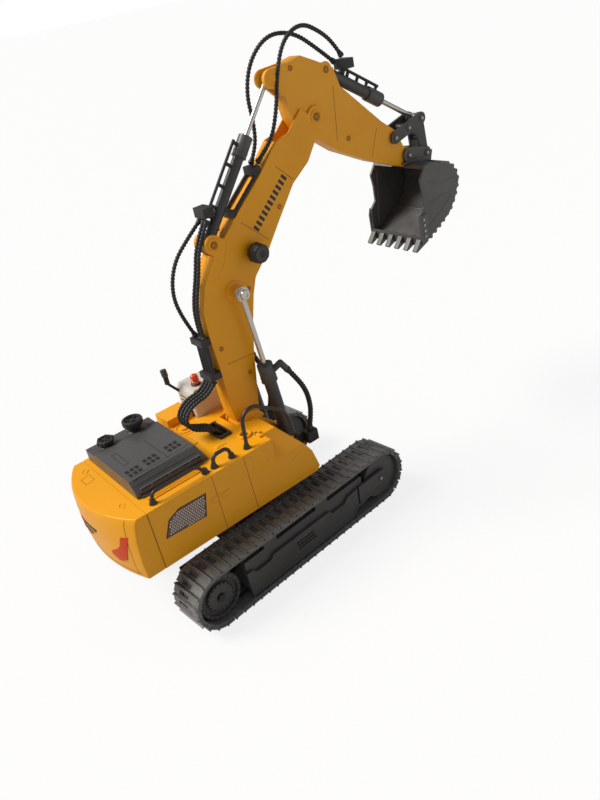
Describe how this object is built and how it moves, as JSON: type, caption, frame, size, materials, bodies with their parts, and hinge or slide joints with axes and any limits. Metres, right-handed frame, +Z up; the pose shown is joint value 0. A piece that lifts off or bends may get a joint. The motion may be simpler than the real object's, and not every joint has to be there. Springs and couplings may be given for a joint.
{
  "type": "remote-controlled toy excavator",
  "caption": "Crawler excavator model: tracked base, slewing house with cab and engine hood, boom, stick and toothed bucket moved by cylinders, with bundled hoses.",
  "frame": {"origin": "on the slew axis at ground level", "axes": "+Z up along the slew axis, +X along the boom towards the bucket, +Y to the cab side"},
  "size_m": [0.442, 0.1826, 0.4227],
  "materials": {
    "body_yellow": "satin",
    "side_charcoal": "satin",
    "track_black": "matte",
    "black_plastic": "satin",
    "hood_black": "gloss",
    "cylinder_grey": "satin",
    "rod_steel": "polished",
    "bucket_steel": "satin",
    "hose_rubber": "matte",
    "cab_glass": "clear",
    "beacon_orange": "translucent",
    "cab_white": "satin",
    "pin_steel": "satin",
    "inner_green": "matte"
  },
  "bodies": {
    "undercarriage": {"chassis_frame": "black_plastic", "battery_pack": "inner_green", "track_frame_right": "side_charcoal", "track_frame_left": "side_charcoal", "side_cover_right": "side_charcoal", "side_cover_left": "side_charcoal", "track_belt_right": "track_black", "track_belt_left": "track_black", "drive_gearboxes": "black_plastic"},
    "sprocket_right_wheel": {"sprocket_right": "track_black"},
    "sprocket_left_wheel": {"sprocket_left": "track_black"},
    "idler_right_wheel": {"idler_right": "track_black"},
    "idler_left_wheel": {"idler_left": "track_black"},
    "house": {"turntable": "body_yellow", "house_shell": "body_yellow", "counterweight": "body_yellow", "engine_hood": "hood_black", "hood_caps": "black_plastic", "hand_rails": "black_plastic", "cab_shell": "body_yellow", "cab_glass": "cab_glass", "cab_seat": "black_plastic", "cab_beacon": "beacon_orange", "hose_gland": "black_plastic", "hose_blocks": "black_plastic", "slew_motor": "black_plastic", "circuit_board": "inner_green", "boom_foot_pin": "pin_steel", "deck_hose_1": "hose_rubber", "deck_hose_2": "hose_rubber", "deck_hose_3": "hose_rubber", "deck_hose_4": "hose_rubber", "lift_hose_right": "hose_rubber", "lift_hose_left": "hose_rubber"},
    "boom": {"boom_right": "body_yellow", "boom_left": "body_yellow", "boom_pins": "pin_steel", "work_lamps": "black_plastic", "hose_holders": "black_plastic", "hose_run": "hose_rubber", "stick_hose_outer": "hose_rubber", "stick_hose_inner_1": "hose_rubber", "stick_hose_inner_2": "hose_rubber", "loop_hose_1": "hose_rubber", "loop_hose_2": "hose_rubber"},
    "lift_barrel_pair": {"lift_barrels": "cylinder_grey"},
    "lift_rod_pair": {"lift_rods": "rod_steel"},
    "stick_cylinder": {"stick_barrel": "cylinder_grey", "stick_pipe": "cylinder_grey"},
    "stick_cylinder_rod": {"stick_rod": "rod_steel"},
    "stick": {"stick_right": "body_yellow", "stick_left": "body_yellow", "stick_pins": "pin_steel"},
    "bucket_cylinder": {"bucket_barrel": "cylinder_grey", "bucket_pipe": "cylinder_grey"},
    "bucket_cylinder_rod": {"bucket_rod": "rod_steel"},
    "rocker_arm": {"rocker": "cylinder_grey"},
    "bucket_link": {"link": "cylinder_grey"},
    "bucket_body": {"bucket": "bucket_steel"}
  },
  "joints": [
    {"name": "slew", "type": "hinge", "parent": "undercarriage", "child": "house", "pos_m": [0, 0, 0.06], "axis": [0, 0, 1], "continuous": true},
    {"name": "sprocket_right_spin", "type": "hinge", "parent": "undercarriage", "child": "sprocket_right_wheel", "pos_m": [-0.09466, -0.07209, 0.0285], "axis": [-0.0628, 0.998, 0], "continuous": true},
    {"name": "sprocket_left_spin", "type": "hinge", "parent": "undercarriage", "child": "sprocket_left_wheel", "pos_m": [-0.10295, 0.05965, 0.0285], "axis": [-0.0628, 0.998, 0], "continuous": true},
    {"name": "idler_right_spin", "type": "hinge", "parent": "undercarriage", "child": "idler_right_wheel", "pos_m": [0.10295, -0.05965, 0.0285], "axis": [-0.0628, 0.998, 0], "continuous": true},
    {"name": "idler_left_spin", "type": "hinge", "parent": "undercarriage", "child": "idler_left_wheel", "pos_m": [0.09466, 0.07209, 0.0285], "axis": [-0.0628, 0.998, 0], "continuous": true},
    {"name": "boom_lift", "type": "hinge", "parent": "house", "child": "boom", "pos_m": [0.014, 0, 0.114], "axis": [0, 1, 0], "range_deg": [-4, 45], "deforming": ["deck_hose_1", "deck_hose_2", "deck_hose_3", "deck_hose_4"]},
    {"name": "lift_barrel_swing", "type": "hinge", "parent": "house", "child": "lift_barrel_pair", "pos_m": [0.045, 0, 0.086], "axis": [0, 1, 0], "range_deg": [-3.49, 38.26], "deforming": ["lift_hose_right", "lift_hose_left"]},
    {"name": "lift_rod_slide", "type": "slide", "parent": "lift_barrel_pair", "child": "lift_rod_pair", "axis": [-0.0917, 0, 0.9958], "range_m": [-0.02746, 0.00249]},
    {"name": "stick_swing", "type": "hinge", "parent": "boom", "child": "stick", "pos_m": [0.148, 0, 0.351], "axis": [0, 1, 0], "range_deg": [-20, 35], "deforming": ["loop_hose_1", "loop_hose_2"]},
    {"name": "stick_barrel_swing", "type": "hinge", "parent": "boom", "child": "stick_cylinder", "pos_m": [0.022, 0, 0.282], "axis": [0, 1, 0], "range_deg": [-1.69, 2.88], "deforming": ["stick_hose_outer", "stick_hose_inner_1", "stick_hose_inner_2"]},
    {"name": "stick_rod_slide", "type": "slide", "parent": "stick_cylinder", "child": "stick_cylinder_rod", "axis": [0.6395, 0, 0.7688], "range_m": [-0.01766, 0.03087]},
    {"name": "bucket_curl", "type": "hinge", "parent": "stick", "child": "bucket_body", "pos_m": [0.252, 0, 0.29], "axis": [0, 1, 0], "range_deg": [-45, 30]},
    {"name": "rocker_swing", "type": "hinge", "parent": "stick", "child": "rocker_arm", "pos_m": [0.237, 0, 0.31], "axis": [0, 1, 0], "range_deg": [-29.75, 19.87]},
    {"name": "link_swing", "type": "hinge", "parent": "rocker_arm", "child": "bucket_link", "pos_m": [0.273, 0, 0.319], "axis": [0, 1, 0], "range_deg": [-11.72, 17.53]},
    {"name": "bucket_barrel_swing", "type": "hinge", "parent": "stick", "child": "bucket_cylinder", "pos_m": [0.168, 0, 0.384], "axis": [0, 1, 0], "range_deg": [-5.93, 3.98]},
    {"name": "bucket_rod_slide", "type": "slide", "parent": "bucket_cylinder", "child": "bucket_cylinder_rod", "axis": [0.8503, 0, -0.5264], "range_m": [-0.01456, 0.00972]}
  ],
  "couplings": [
    {"joint": "idler_right_spin", "follows": "sprocket_right_spin", "ratio": 1},
    {"joint": "idler_left_spin", "follows": "sprocket_left_spin", "ratio": 1},
    {"joint": "lift_barrel_swing", "follows": "boom_lift", "ratio": 0.848},
    {"joint": "lift_rod_slide", "follows": "boom_lift", "m_per_rad": -0.0349},
    {"joint": "stick_barrel_swing", "follows": "stick_swing", "ratio": 0.0793},
    {"joint": "stick_rod_slide", "follows": "stick_swing", "m_per_rad": 0.05046},
    {"joint": "rocker_swing", "follows": "bucket_curl", "ratio": 0.6589},
    {"joint": "link_swing", "follows": "bucket_curl", "ratio": -0.3873},
    {"joint": "bucket_barrel_swing", "follows": "bucket_curl", "ratio": 0.1295},
    {"joint": "bucket_rod_slide", "follows": "bucket_curl", "m_per_rad": 0.01847}
  ]
}
